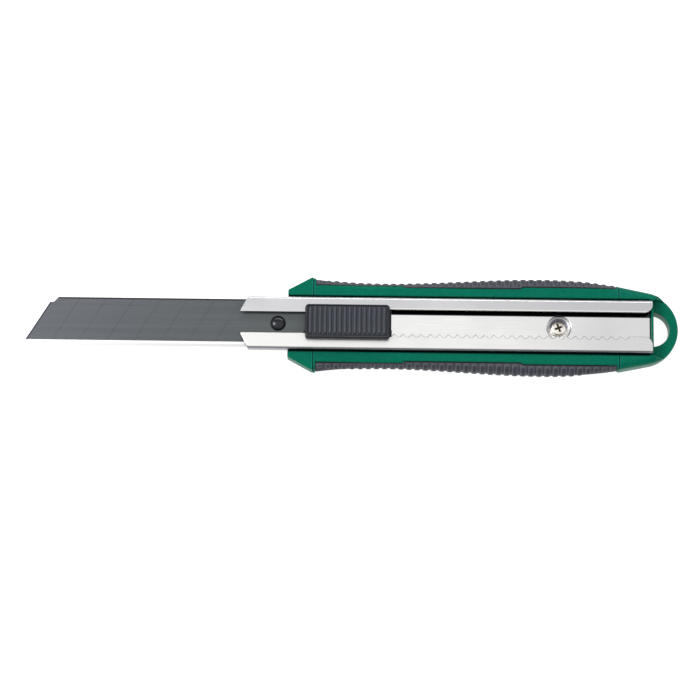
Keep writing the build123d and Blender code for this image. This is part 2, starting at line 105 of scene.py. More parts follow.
# %% Tent and soft lights
TENT_STRIPS = (             # degrees from straight up, towards the knife's far side, and brightness
    (-90, 0.30),
    (-46, 0.22),
    (-34, 0.95),
    (20, 0.98),
    (27, 0.20),
    (38, 0.20),
    (46, 1.15),
    (58, 0.90),
    (68, 0.14),
    (90, 0.10),
)


def add(tree, kind, values=None, **settings):
    """A new node, with its own settings and the values of its input sockets."""
    made = tree.nodes.new(kind)
    for key, value in settings.items():
        setattr(made, key, value)
    for socket, value in (values or {}).items():
        made.inputs[socket].default_value = value
    return made


def calc(tree, operation, *values, clamp=False):
    """One step of a formula. Each value is a number or another step's output."""
    step = add(tree, "ShaderNodeMath", operation=operation, use_clamp=clamp)
    for index, value in enumerate(values):
        if isinstance(value, (int, float)):
            step.inputs[index].default_value = value
        else:
            tree.links.new(value, step.inputs[index])
    return step.outputs[0]


def make_tent():
    """A world whose brightness follows TENT_STRIPS."""
    world = bpy.data.worlds.new("tent")
    bpy.context.scene.world = world
    world.use_nodes = True
    tree = world.node_tree
    direction = add(tree, "ShaderNodeTexCoord")
    parts = add(tree, "ShaderNodeSeparateXYZ")
    tree.links.new(direction.outputs["Generated"], parts.inputs["Vector"])
    angle = calc(tree, "ARCTAN2", parts.outputs["Y"], parts.outputs["Z"])
    share = add(tree, "ShaderNodeMapRange", {"From Min": -math.pi / 2, "From Max": math.pi / 2})
    cloth = add(tree, "ShaderNodeValToRGB")
    stops = cloth.color_ramp.elements
    stops.remove(stops[-1])
    for number, (degrees, level) in enumerate(TENT_STRIPS):
        place = degrees / 180 + 0.5
        stop = stops[0] if number == 0 else stops.new(place)
        stop.position = place
        stop.color = (level, level, level, 1)
    tree.links.new(angle, share.inputs["Value"])
    tree.links.new(share.outputs["Result"], cloth.inputs["Fac"])
    tree.links.new(cloth.outputs["Color"], tree.nodes["Background"].inputs["Color"])


def soft_light(name, place, size, power, colour):
    """A rectangular light, aimed at the middle of the knife."""
    data = bpy.data.lights.new(name, "AREA")
    data.shape = "RECTANGLE"
    data.size, data.size_y = size
    data.energy = power
    data.color = colour
    lamp = bpy.data.objects.new(name, data)
    bpy.context.collection.objects.link(lamp)
    lamp.location = place
    lamp.rotation_euler = (-Vector(place)).to_track_quat("-Z", "Y").to_euler()


make_tent()
soft_light("far_side", (0.1, 0.75, 0.62), (1.0, 0.35), 3.0, (1.0, 0.99, 0.97))
soft_light("tip_side", (-0.55, 0.05, 0.75), (0.3, 0.3), 3.6, (0.98, 0.99, 1.0))
bpy.context.scene.view_settings.view_transform = "Standard"
print("tent strips:", len(TENT_STRIPS))

# %% [markdown]
# The table is a plain pale sheet. It's rough, so that it takes only a soft shadow, and it glows, as
# a sheet lit from below does. It lies a hair below the knife, so that the two never share a face.

# %% Table
TABLE_SIZE = 6.0
TABLE_COLOUR = (0.4, 0.4, 0.4, 1)
TABLE_GLOW = 0.9
TABLE_ROUGHNESS = 0.8
TABLE_GAP = 0.02 * MM


def make_table():
    half = TABLE_SIZE / 2
    top = cad_box[0][2] - TABLE_GAP
    mesh = bpy.data.meshes.new("table")
    corners = [(-half, -half, top), (half, -half, top), (half, half, top), (-half, half, top)]
    mesh.from_pydata(corners, [], [(0, 1, 2, 3)])
    table = bpy.data.objects.new("table", mesh)
    bpy.context.collection.objects.link(table)
    material = bpy.data.materials.new("table")
    material.use_nodes = True
    shader = material.node_tree.nodes["Principled BSDF"]
    shader.inputs["Base Color"].default_value = TABLE_COLOUR
    shader.inputs["Roughness"].default_value = TABLE_ROUGHNESS
    shader.inputs["Emission Color"].default_value = (1, 1, 1, 1)
    shader.inputs["Emission Strength"].default_value = TABLE_GLOW
    mesh.materials.append(material)


make_table()

# %% [markdown]
# Every finish is made of nodes that read the piece's own coordinates in metres, so a grain of
# 0.3 mm is the same on a large piece and on a small one. A few helpers keep the recipes short:
# stretched noise for brushing and streaks, a colour between two ends, and a bump from any height.

# %% Helpers for finishes
def new_finish(name):
    """A material, its tree and its shader."""
    material = bpy.data.materials.new(name)
    material.use_nodes = True
    return material, material.node_tree, material.node_tree.nodes["Principled BSDF"]


def grain(tree, scale, stretch=(1, 1, 1), detail=3.0):
    """Noise with about `scale` lumps to the metre, finer or coarser along each axis by `stretch`."""
    place = add(tree, "ShaderNodeTexCoord")
    pull = add(tree, "ShaderNodeMapping", {"Scale": stretch})
    noise = add(tree, "ShaderNodeTexNoise", {"Scale": scale, "Detail": detail, "Roughness": 0.6})
    tree.links.new(place.outputs["Object"], pull.inputs["Vector"])
    tree.links.new(pull.outputs["Vector"], noise.inputs["Vector"])
    return noise.outputs["Fac"]


def ranged(tree, source, low, high, start=0.3, end=0.7):
    """The source from start to end, turned into values from low to high."""
    span = add(
        tree,
        "ShaderNodeMapRange",
        {"From Min": start, "From Max": end, "To Min": low, "To Max": high},
    )
    tree.links.new(source, span.inputs["Value"])
    return span.outputs["Result"]


def tinted(tree, factor, low, high):
    """A colour between two, by a factor from 0 to 1. Each end is a colour or another colour socket."""
    mix = add(tree, "ShaderNodeMix", data_type="RGBA")
    tree.links.new(factor, mix.inputs["Factor"])
    for socket, colour in (("A", low), ("B", high)):
        target = next(s for s in mix.inputs if s.name == socket and s.type == "RGBA")
        if isinstance(colour, tuple):
            target.default_value = (*colour, 1)
        else:
            tree.links.new(colour, target)
    return next(s for s in mix.outputs if s.type == "RGBA")


def raised(tree, shader, height, depth):
    """A bump on the shader from a height of 0 to 1, `depth` millimetres high."""
    bump = add(tree, "ShaderNodeBump", {"Distance": depth * MM, "Strength": 1.0})
    tree.links.new(height, bump.inputs["Height"])
    tree.links.new(bump.outputs["Normal"], shader.inputs["Normal"])


def blended(tree, first, second, share=0.5):
    """Two heights or factors added, the second counted by its share."""
    return calc(tree, "ADD", first, calc(tree, "MULTIPLY", second, share), clamp=True)


def product(tree, *factors):
    """Factors from 0 to 1, multiplied."""
    total = factors[0]
    for factor in factors[1:]:
        total = calc(tree, "MULTIPLY", total, factor, clamp=True)
    return total


def axis_value(tree, axis, kind="Object"):
    """One of the piece's own coordinates, in metres, or one part of its "Normal"."""
    place = add(tree, "ShaderNodeTexCoord")
    split = add(tree, "ShaderNodeSeparateXYZ")
    tree.links.new(place.outputs[kind], split.inputs["Vector"])
    return split.outputs[axis]


def carried(tree, name):
    """A value from 0 to 1, or a length, that the mesh carries at each point."""
    return add(tree, "ShaderNodeAttribute", attribute_name=name).outputs["Fac"]

# %% [markdown]
# The green body is moulded from plastic with a little metal powder in it. The powder shows as fine
# lighter specks: a Voronoi texture gives each small cell a random value, and only the highest
# values are lit. Edges rub pale first, so the mesh carries an "edge" value for the colour to use.
# The thin parting lines where green pieces meet get painted shade, as the shade in the joint, with a
# painted highlight beside it, as on the joint's rounded edges. The pieces only touch there, with no
# groove to see, so the lines are painted at their places along X. Painted shade runs along the channel
# too, where the rails meet it, above the underside only.

# %% Green plastic
GREEN_DEEP = (0.0004, 0.122, 0.071)
GREEN_LIGHT = (0.0008, 0.142, 0.085)
GREEN_SPECK = (0.006, 0.190, 0.130)
GREEN_WEAR_AND_HIGHLIGHT = (0.012, 0.210, 0.150)
GREEN_SHADE = (0.0006, 0.016, 0.013)
SPECK_SCALE = 3200.0
SPECK_FROM = 0.72           # cells with a lower random value stay unlit
SPECK_STRENGTH = 0.55
GREEN_CLOUDS = 90.0
GREEN_PATCHES = 500.0
GREEN_PEBBLE = 0.006
GREEN_GLOSS = (0.24, 0.36)
GREEN_SHINE = 0.05
EDGE_RUB = 0.4
SEAM_HIGHLIGHT = 0.9
SEAMS = (-13.9 * MM, 99.0 * MM)
SEAM_SHADE_REACH = 0.24 * MM
SEAM_HIGHLIGHT_REACH = 0.55 * MM
RAIL_EDGE = 10.0 * MM
RAIL_SHADE = 1.1 * MM
SHADE_END = 110.0 * MM      # the loop starts here, and has no rails
SHADE_FOOT = 6.5 * MM


def near_seams(tree, reach):
    """1 on the two lines where green pieces meet, 0 further than `reach` from them."""
    place = axis_value(tree, "X")
    found = []
    for seam in SEAMS:
        away = calc(tree, "ABSOLUTE", calc(tree, "ADD", place, -seam))
        found.append(ranged(tree, away, 1, 0, reach * 0.6, reach))
    return blended(tree, found[0], found[1], 1.0)


def green_plastic():
    material, tree, shader = new_finish("green_plastic")
    place = add(tree, "ShaderNodeTexCoord")
    cells = add(tree, "ShaderNodeTexVoronoi", {"Scale": SPECK_SCALE})
    tree.links.new(place.outputs["Object"], cells.inputs["Vector"])
    chance = add(tree, "ShaderNodeSeparateColor")
    tree.links.new(cells.outputs["Color"], chance.inputs["Color"])
    cloudy = ranged(tree, grain(tree, GREEN_CLOUDS), 0, 0.7)
    clouds = tinted(tree, cloudy, GREEN_DEEP, GREEN_LIGHT)
    specks = ranged(tree, chance.outputs[0], 0, SPECK_STRENGTH, SPECK_FROM, 1.0)
    speckled = tinted(tree, specks, clouds, GREEN_SPECK)
    patches = ranged(tree, grain(tree, GREEN_PATCHES), -0.5, 0.05)
    patchy = blended(tree, patches, carried(tree, "edge"), EDGE_RUB)
    # a painted highlight beside the parting lines, on top of real wear at the edges and in patches
    worn_and_highlit = blended(tree, patchy, near_seams(tree, SEAM_HIGHLIGHT_REACH), SEAM_HIGHLIGHT)
    body = tinted(tree, worn_and_highlit, speckled, GREEN_WEAR_AND_HIGHLIGHT)
    side = calc(tree, "ABSOLUTE", axis_value(tree, "Y"))
    # painted shade along the rails' inner edges, where they meet the channel
    inner = ranged(tree, side, 1, 0, RAIL_EDGE + RAIL_SHADE * 0.4, RAIL_EDGE + RAIL_SHADE)
    before_loop = ranged(tree, axis_value(tree, "X"), 1, 0, SHADE_END, SHADE_END + 0.6 * MM)
    upper = ranged(tree, axis_value(tree, "Z"), 0, 1, SHADE_FOOT, SHADE_FOOT + MM)
    shade_beside_channel = product(tree, inner, before_loop, upper)
    # painted shade in the parting lines and along the rails beside the channel
    dark = blended(tree, near_seams(tree, SEAM_SHADE_REACH), shade_beside_channel, 1.0)
    tree.links.new(tinted(tree, dark, body, GREEN_SHADE), shader.inputs["Base Color"])
    tree.links.new(ranged(tree, grain(tree, 260.0), *GREEN_GLOSS), shader.inputs["Roughness"])
    raised(tree, shader, grain(tree, 3200.0), GREEN_PEBBLE)
    shader.inputs["Specular IOR Level"].default_value = GREEN_SHINE
    return material


GREEN = green_plastic()
print("green plastic:", len(GREEN.node_tree.nodes), "nodes")

# %% [markdown]
# The grips are soft rubber, moulded over the green body. Rubber is nearly black, a little blue, and
# dull, with a fine grain from the mould, and greyer crests, where hands have rubbed it and where a
# painted highlight falls. Where it starts beside the rail, a dark line is painted as the shade of the
# gap there: the mesh stores each point's distance from there.

# %% Grip rubber
RUBBER_DARK = (0.021, 0.023, 0.031)
RUBBER_LIGHT = (0.030, 0.033, 0.043)
RUBBER_WEAR_AND_HIGHLIGHT = (0.082, 0.087, 0.104)
RUBBER_GAP_SHADE = (0.006, 0.005, 0.008)
RUBBER_PEBBLE = 0.012
RUBBER_GLOSS = (0.48, 0.62)
RUBBER_SHINE = 0.22
GAP_SHADE_WIDTH = 0.45 * MM


def grip_rubber():
    material, tree, shader = new_finish("grip_rubber")
    base = tinted(tree, ranged(tree, grain(tree, 400.0), 0, 1), RUBBER_DARK, RUBBER_LIGHT)
    # greyer crests: real wear and a painted highlight
    worn_and_highlit = tinted(tree, carried(tree, "edge"), base, RUBBER_WEAR_AND_HIGHLIGHT)
    # painted shade of the gap between the rubber and the rail
    seam = ranged(tree, carried(tree, "from_rail"), 1, 0, GAP_SHADE_WIDTH * 0.7, GAP_SHADE_WIDTH)
    tree.links.new(tinted(tree, seam, worn_and_highlit, RUBBER_GAP_SHADE), shader.inputs["Base Color"])
    tree.links.new(ranged(tree, grain(tree, 300.0), *RUBBER_GLOSS), shader.inputs["Roughness"])
    raised(tree, shader, grain(tree, 5200.0), RUBBER_PEBBLE)
    shader.inputs["Specular IOR Level"].default_value = RUBBER_SHINE
    return material


RUBBER = grip_rubber()
print("grip rubber:", len(RUBBER.node_tree.nodes), "nodes")

# %% [markdown]
# The slider's parts are hard black plastic from a spark-textured mould: a fine even pebble in the
# surface, a satin gloss. The peg is the same plastic, but polished. Their rubbed edges are paler.

# %% Black plastics
WORN_PALER = 2.2
WORN_SHARE = 0.6


def black_plastic(name, dark, light, gloss, pebble, shine):
    """`gloss` holds the lowest and highest roughness, and `pebble` is the grain's depth in mm."""
    material, tree, shader = new_finish(name)
    base = tinted(tree, ranged(tree, grain(tree, 700.0), 0, 1), dark, light)
    worn = tuple(WORN_PALER * channel for channel in light)
    colour = tinted(tree, ranged(tree, carried(tree, "edge"), 0, WORN_SHARE), base, worn)
    tree.links.new(colour, shader.inputs["Base Color"])
    tree.links.new(ranged(tree, grain(tree, 350.0), *gloss), shader.inputs["Roughness"])
    raised(tree, shader, grain(tree, 4500.0), pebble)
    shader.inputs["Specular IOR Level"].default_value = shine
    print(name, len(tree.nodes), "nodes")
    return material


BLACK = black_plastic(
    "black_plastic", (0.012, 0.014, 0.020), (0.017, 0.019, 0.026), (0.34, 0.46), 0.01, 0.25
)
PAD = black_plastic(
    "pad_plastic", (0.026, 0.029, 0.038), (0.033, 0.036, 0.046), (0.36, 0.48), 0.012, 0.3
)
GLOSSY = black_plastic(
    "peg_plastic", (0.008, 0.009, 0.013), (0.011, 0.012, 0.017), (0.16, 0.22), 0.001, 0.4
)
SPRING = black_plastic(
    "spring_black", (0.008, 0.008, 0.01), (0.013, 0.013, 0.016), (0.3, 0.5), 0.003, 0.3
)

# %% [markdown]
# The channel is stainless sheet, brushed along its length and then rolled. Brushing is noise pulled
# out along X: fine lines in the roughness and in the bump, with soft clouds where the sheet was
# handled. The lip on the far side is painted darker than the near one, as painted shade. The floor of
# the channel is the smoothest part, where the slider runs, and mirrors what's above it. Inside, the
# lips' undersides and inner walls are painted dark, as the shade under the lips, and the floor gets a
# dark band beside the far lip, a painted reflection of them. The far half of each dimple and the near
# wall's bend get painted shade too, the near lip's cut edges a painted dark line, and the far lip's
# cut edge a painted highlight.

# %% Stainless steel
STEEL_DULL_AND_SHADE = (0.65, 0.65, 0.67)
STEEL_REAR = (0.50, 0.495, 0.51)
STEEL_SHADE = (0.13, 0.13, 0.16)
STEEL_BRIGHT = (0.93, 0.925, 0.91)
STEEL_LINE = (0.45, 0.45, 0.48)
STEEL_PAINTED_SHADE = (0.026, 0.029, 0.038)
STEEL_EDGE_SHADE = (0.05, 0.05, 0.07)
BRUSH_PULL = (0.035, 1.0, 1.0)
CHANNEL_DEPTH = 5.0 * MM
SHEET = 0.75 * MM
SLOT_STEP_AT = 15.0 * MM
FAR_EDGE = 5.2 * MM
BRUSH_DEPTH = 0.0015
# The rest are (start, end) of soft changes: along X, then across in Y, then below the floor.
REARWARD = (55.0 * MM, 95.0 * MM)
FAR_LIP_SHADE_SPAN = (-4.0 * MM, 5.0 * MM)
EDGE_SHADE_SIDE = (-3.2 * MM, -2.0 * MM)
NEAR_BEND = (-9.5 * MM, -8.9 * MM)
DIMPLE_SIDE = (-1.8 * MM, 0.4 * MM)
FAR_EDGE_HIGHLIGHT = (FAR_EDGE + 0.36 * MM, FAR_EDGE + 0.6 * MM)
FLOOR_SHADE_BAND = (FAR_EDGE - 1.25 * MM, FAR_EDGE - 0.95 * MM)
WALL_SHADE_FROM = (5.5 * MM, 5.7 * MM)
DIMPLE_DEEP = (0.95 * MM, 0.3 * MM)
DIMPLE_ROUGH = (0.3 * MM, 0.05 * MM)


def channel_floor():
    """The height of the channel's inner face, over which the slider runs."""
    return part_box("blade_channel")[1].z - CHANNEL_DEPTH + SHEET


def facing(tree, axis):
    """How far the surface faces along one axis, in the piece's own frame: 1 to -1."""
    return axis_value(tree, axis, "Normal")


def lip_underside_shade(tree, low, high):
    """1 on the channel's inner faces that look down or inward, where shade is painted, 0 elsewhere."""
    side = calc(tree, "ABSOLUTE", axis_value(tree, "Y"))
    inner = high.y - SHEET / 2
    within = ranged(tree, side, 1, 0, inner, inner + 0.1 * MM)
    hidden = ranged(tree, facing(tree, "Z"), 1, 0, -0.2, 0.3)
    slot = ranged(tree, side, 0, 1, *WALL_SHADE_FROM)
    under = ranged(tree, facing(tree, "Z"), 1, 0, -0.7, -0.3)
    beside = product(tree, within, hidden, slot)
    below = product(tree, within, under)
    height = axis_value(tree, "Z")
    above_floor = ranged(tree, height, 0, 1, low.z + 2 * SHEET, low.z + 3 * SHEET)
    return product(tree, blended(tree, beside, below, 1.0), above_floor)


def dark_places(tree, floor, place, height):
    """The far side of each dimple, and the bend of the near wall."""
    deep = ranged(tree, height, 1, 0, *(floor - depth for depth in DIMPLE_DEEP))
    foot = product(tree, deep, ranged(tree, place, 0, 1, *DIMPLE_SIDE))
    outward = ranged(tree, facing(tree, "Y"), 1, 0, -0.75, -0.2)
    bend = product(tree, outward, ranged(tree, place, 1, 0, *NEAR_BEND))
    return blended(tree, foot, bend, 0.8)


def stainless():
    material, tree, shader = new_finish("stainless")
    low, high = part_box("blade_channel")
    floor = channel_floor()
    length, place, height = (axis_value(tree, axis) for axis in "XYZ")
    lines = grain(tree, 2600.0, BRUSH_PULL, 4.0)
    clouds = grain(tree, 70.0, (0.5, 1.0, 1.0), 2.0)
    on_lips = ranged(tree, height, 0, 1, floor + SHEET, floor + 2 * SHEET)
    # the far lip painted darker: painted shade, mixed with real handling clouds
    far_lip_shade = product(tree, on_lips, ranged(tree, place, 0, 1, *FAR_LIP_SHADE_SPAN))
    dull = blended(tree, far_lip_shade, ranged(tree, clouds, -0.25, 0.25), 0.8)
    sheet = tinted(tree, dull, STEEL_BRIGHT, STEEL_DULL_AND_SHADE)
    sheet = tinted(tree, ranged(tree, length, 0, 0.45, *REARWARD), sheet, STEEL_REAR)
    brushed = tinted(tree, ranged(tree, lines, 0.0, 0.12), sheet, STEEL_LINE)
    # a painted dark line on the near lip's cut edges, as their shade
    cut = product(tree, carried(tree, "edge"), ranged(tree, place, 1, 0, *EDGE_SHADE_SIDE), on_lips)
    edge_shaded = tinted(tree, cut, brushed, STEEL_EDGE_SHADE)
    # a painted highlight along the far lip's cut edge, behind the slot's step
    edge_highlight = product(
        tree,
        on_lips,
        ranged(tree, length, 0, 1, SLOT_STEP_AT - MM, SLOT_STEP_AT),
        ranged(tree, place, 0, 1, 0, FAR_EDGE),
        ranged(tree, place, 1, 0, *FAR_EDGE_HIGHLIGHT),
    )
    highlighted = tinted(tree, edge_highlight, edge_shaded, STEEL_BRIGHT)
    shaded = tinted(tree, dark_places(tree, floor, place, height), highlighted, STEEL_SHADE)
    on_floor = ranged(tree, on_lips, 1, 0, 0, 1)
    # a painted reflection: a dark band on the floor beside the far lip, as the lips' shaded undersides
    floor_shade = product(tree, on_floor, ranged(tree, place, 0, 1, *FLOOR_SHADE_BAND))
    # painted shade on the lips' undersides and inner walls, with the floor's painted reflection
    dark = blended(tree, lip_underside_shade(tree, low, high), floor_shade, 1.0)
    tree.links.new(tinted(tree, dark, shaded, STEEL_PAINTED_SHADE), shader.inputs["Base Color"])
    in_dimple = ranged(tree, height, 0.26, 0, *(floor - depth for depth in DIMPLE_ROUGH))
    base_rough = blended(tree, ranged(tree, on_lips, 0.08, 0.27, 0, 1), in_dimple, 1.0)
    rough = blended(tree, base_rough, ranged(tree, lines, 0, 0.07), 1.0)
    tree.links.new(rough, shader.inputs["Roughness"])
    raised(tree, shader, lines, BRUSH_DEPTH)
    shader.inputs["Metallic"].default_value = 1.0
    return material


STEEL = stainless()
print("stainless steel:", len(STEEL.node_tree.nodes), "nodes")

# %% [markdown]
# A blade like this is blackened before it's ground, so its faces are dark and a bright strip is
# left along the edge. The strip is chosen by the blade's own Y coordinate, and so is the darker rim
# along its back. The rim along the slanted front end is chosen by the distance behind that slant.
# Rolling leaves faint lengthwise streaks on the dark faces, and the grinding wheel leaves fine
# marks across the strip. The very edge is honed once more, and is a little duller.

# %% Blade finish
BLADE_TIP = ((0.102, 0.107, 0.120), (0.118, 0.124, 0.138))
BLADE_REAR = ((0.096, 0.107, 0.109), (0.112, 0.124, 0.126))
TIP_TO_REAR = (-120.0 * MM, -20.0 * MM)
BLADE_BACK = (0.030, 0.033, 0.042)
BACK_TOP = 8.45 * MM
FRONT_LINE = 0.5 * MM
BLADE_ANGLE = math.radians(58.5)
GROUND_BRIGHT = (0.97, 0.965, 0.96)
GROUND_MARK = (0.84, 0.84, 0.85)
GROUND_TOP = -7.12 * MM
GROUND_FADE = 0.05 * MM
HONED_TOP = -7.9 * MM
HONED_FADE = 0.2 * MM
HONED = (0.72, 0.715, 0.72)
STREAK_DEPTH = 0.002
BLADE_METAL = 0.92          # a little less than bare steel, for the blackened faces


def behind_slant(tree):
    """How far a point lies behind the blade's slanted front end, in metres."""
    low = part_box("blade")[0]
    way = Vector((math.sin(BLADE_ANGLE), -math.cos(BLADE_ANGLE)))
    across = calc(tree, "MULTIPLY_ADD", axis_value(tree, "X"), way.x, -way.x * low.x)
    along = calc(tree, "MULTIPLY_ADD", axis_value(tree, "Y"), way.y, -way.y * low.y)
    return calc(tree, "ADD", across, along)


def blade_finish():
    material, tree, shader = new_finish("blade_steel")
    streaks = grain(tree, 1100.0, (0.012, 1.0, 1.0), 5.0)
    rear = ranged(tree, axis_value(tree, "X"), 0.0, 1.0, *TIP_TO_REAR)
    dark = tinted(tree, rear, BLADE_TIP[0], BLADE_REAR[0])
    pale = tinted(tree, rear, BLADE_TIP[1], BLADE_REAR[1])
    flat = tinted(tree, ranged(tree, streaks, 0, 1), dark, pale)
    height = axis_value(tree, "Y")
    back = ranged(tree, height, 0.0, 1.0, BACK_TOP - GROUND_FADE, BACK_TOP)
    front = ranged(tree, behind_slant(tree), 1, 0, FRONT_LINE - GROUND_FADE, FRONT_LINE)
    face = tinted(tree, blended(tree, back, front, 1.0), flat, BLADE_BACK)
    marks = grain(tree, 1500.0, (1.0, 0.05, 0.05), 3.0)
    strip = tinted(tree, ranged(tree, marks, 0, 0.5), GROUND_BRIGHT, GROUND_MARK)
    honed = ranged(tree, height, 1.0, 0.0, HONED_TOP - HONED_FADE, HONED_TOP)
    edge = tinted(tree, honed, strip, HONED)
    on_face = ranged(tree, height, 0.0, 1.0, GROUND_TOP - GROUND_FADE, GROUND_TOP)
    tree.links.new(tinted(tree, on_face, edge, face), shader.inputs["Base Color"])
    gloss = ranged(tree, on_face, 0.34, 0.44, 0.0, 1.0)
    rough = blended(tree, gloss, ranged(tree, streaks, -0.05, 0.05), 1.0)
    tree.links.new(rough, shader.inputs["Roughness"])
    raised(tree, shader, blended(tree, streaks, marks, 0.4), STREAK_DEPTH)
    shader.inputs["Metallic"].default_value = BLADE_METAL
    return material


BLADE = blade_finish()
print("blade steel:", len(BLADE.node_tree.nodes), "nodes")

# %% [markdown]
# The screws are nickel plated, warmer than the sheet around them, and the hidden threaded sleeves
# are brass. Both are turned, so their marks run round them; at this size a fine noise is enough.
# The screws' cross recess is painted dark, as the shade inside it: the mesh says which points lie in
# it.

# %% Nickel and brass
RECESS_SHADE = (0.05, 0.036, 0.024)


def plated(name, dull, bright, gloss):
    """A small turned metal part's finish."""
    material, tree, shader = new_finish(name)
    spots = ranged(tree, grain(tree, 1400.0), 0, 1)
    base = tinted(tree, blended(tree, spots, carried(tree, "edge"), 0.4), dull, bright)
    # painted shade inside the cross recess
    recess_shaded = tinted(tree, carried(tree, "recess"), base, RECESS_SHADE)
    tree.links.new(recess_shaded, shader.inputs["Base Color"])
    tree.links.new(ranged(tree, grain(tree, 900.0), *gloss), shader.inputs["Roughness"])
    raised(tree, shader, grain(tree, 3500.0), 0.004)
    shader.inputs["Metallic"].default_value = 1.0
    print(name, len(tree.nodes), "nodes")
    return material


NICKEL = plated("plated_screw", (0.80, 0.74, 0.66), (0.97, 0.93, 0.86), (0.16, 0.28))
BRASS = plated("brass", (0.55, 0.38, 0.14), (0.78, 0.58, 0.26), (0.24, 0.38))

# %% [markdown]
# Some CAD pieces have the right shape already and are mostly hidden. They stay, and only get their
# finish. The rest are replaced below by pieces with softened edges or with detail that CAD left out.

# %% Finishes for the CAD pieces that stay
KEPT_PIECES = {
    "blade": BLADE,
    "blade_carrier": BLACK,
    "lock_spring": SPRING,
    "cap_latch": GREEN,
    "screw_inserts": BRASS,
}

for name, material in KEPT_PIECES.items():
    mesh = nodes[name].data
    mesh.materials.clear()
    mesh.materials.append(material)
print("dressed CAD pieces:", len(KEPT_PIECES))

# %% [markdown]
# Moulded and stamped parts never have knife-sharp edges, and it's the small round of an edge that
# catches light. A CAD mesh is loose triangles, so a copy is merged and its flat faces are joined
# again. Then a Bevel modifier rounds every edge that turns sharply. The "edge" value that the
# finishes read is measured afterwards: it is 1 along the middle of each round and 0 on the flats.

# %% Softened copies
MERGE_REACH = 0.001 * MM
FLAT_ENOUGH = math.radians(0.4)
SHARP = math.radians(32.0)
ROUNDED = (math.radians(27.0), math.radians(40.0))
WORKED = (0.0, math.radians(28.0))
SMOOTH_LIMIT = math.radians(38.0)


def merged_copy(name):
    """A CAD piece's mesh with its doubles merged and its flat faces joined."""
    work = bmesh.new()
    work.from_mesh(nodes[name].data)
    bmesh.ops.remove_doubles(work, verts=work.verts, dist=MERGE_REACH)
    bmesh.ops.dissolve_limit(work, angle_limit=FLAT_ENOUGH, verts=work.verts, edges=work.edges)
    mesh = bpy.data.meshes.new(name + "_soft")
    work.to_mesh(mesh)
    work.free()
    return mesh


def place_piece(name, mesh, material):
    piece = bpy.data.objects.new(name, mesh)
    bpy.context.collection.objects.link(piece)
    mesh.materials.clear()
    mesh.materials.append(material)
    return piece


def settle(piece):
    """Turns the piece with its modifiers into a plain mesh, and takes the modifiers off."""
    graph = bpy.context.evaluated_depsgraph_get()
    final = bpy.data.meshes.new_from_object(piece.evaluated_get(graph))
    piece.modifiers.clear()
    piece.data = final
    return final


def mark_edges(mesh, turning):
    """Stores how sharply the surface turns at each point: 0 and 1 at the two angles given."""
    work = bmesh.new()
    work.from_mesh(mesh)
    turns = []
    for point in work.verts:
        angles = [e.calc_face_angle(0) for e in point.link_edges if len(e.link_faces) == 2]
        turn = (max(angles, default=0) - turning[0]) / (turning[1] - turning[0])
        turns.append(min(max(turn, 0.0), 1.0))
    work.free()
    mesh.attributes.new("edge", "FLOAT", "POINT").data.foreach_set("value", turns)


def finish_piece(piece, body, slot, *replaced, turning=WORKED):
    """Smooth shading with true flats, the edge value, the piece set under its body, and the CAD pieces
    it replaces hidden.
    """
    mesh = piece.data
    mark_edges(mesh, turning)
    mesh.shade_smooth()
    mesh.set_sharp_from_angle(angle=SMOOTH_LIMIT)
    if turning == ROUNDED:
        flats = piece.modifiers.new("flats", "WEIGHTED_NORMAL")
        flats.keep_sharp = True
        mesh = settle(piece)
    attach(piece, body)
    if replaced:
        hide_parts(*replaced)
    print(piece.name, len(mesh.polygons), "faces")


def round_edges(piece, width):
    """Rounds each edge that turns sharply, to `width` millimetres."""
    bevel = piece.modifiers.new("rounds", "BEVEL")
    bevel.width = width * MM
    bevel.segments = 2
    bevel.limit_method = "ANGLE"
    bevel.angle_limit = SHARP
    bevel.use_clamp_overlap = False
    settle(piece)


def soften(name, new_name, body, slot, material, width):
    """A CAD piece's copy with its sharp edges rounded to `width` millimetres."""
    piece = place_piece(new_name, merged_copy(name), material)
    round_edges(piece, width)
    finish_piece(piece, body, slot, name, turning=ROUNDED)


soften("handle_core", "body_rails", "handle", "green_plastic", GREEN, 0.25)
soften("front_nose", "nose_wedges", "handle", "green_plastic", GREEN, 0.25)
soften("back_cover", "back_plate", "handle", "green_plastic", GREEN, 0.2)
soften("rear_cap", "end_cap_loop", "end_cap", "green_plastic", GREEN, 0.25)
soften("thumb_button", "button_frame", "button", "black_plastic", BLACK, 0.28)

# %% [markdown]
# The two dimples in the channel's floor were pressed with a round punch, so the sheet flows down
# into them with no sharp rim. The CAD dimple is a plain cone. Its sloping faces are cut into rings,
# and the rings are moved onto an S-curve, level at the rim and level at the foot. Then the lips get
# a fine round, so that each cut edge shows as a thin line.

# %% Channel
DIMPLE_REACH = 5.2 * MM
DIMPLE_LEAN = 0.5 * MM
DIMPLE_RINGS = 9
LIP_ROUND = 0.26
CLOSE = 0.02 * MM


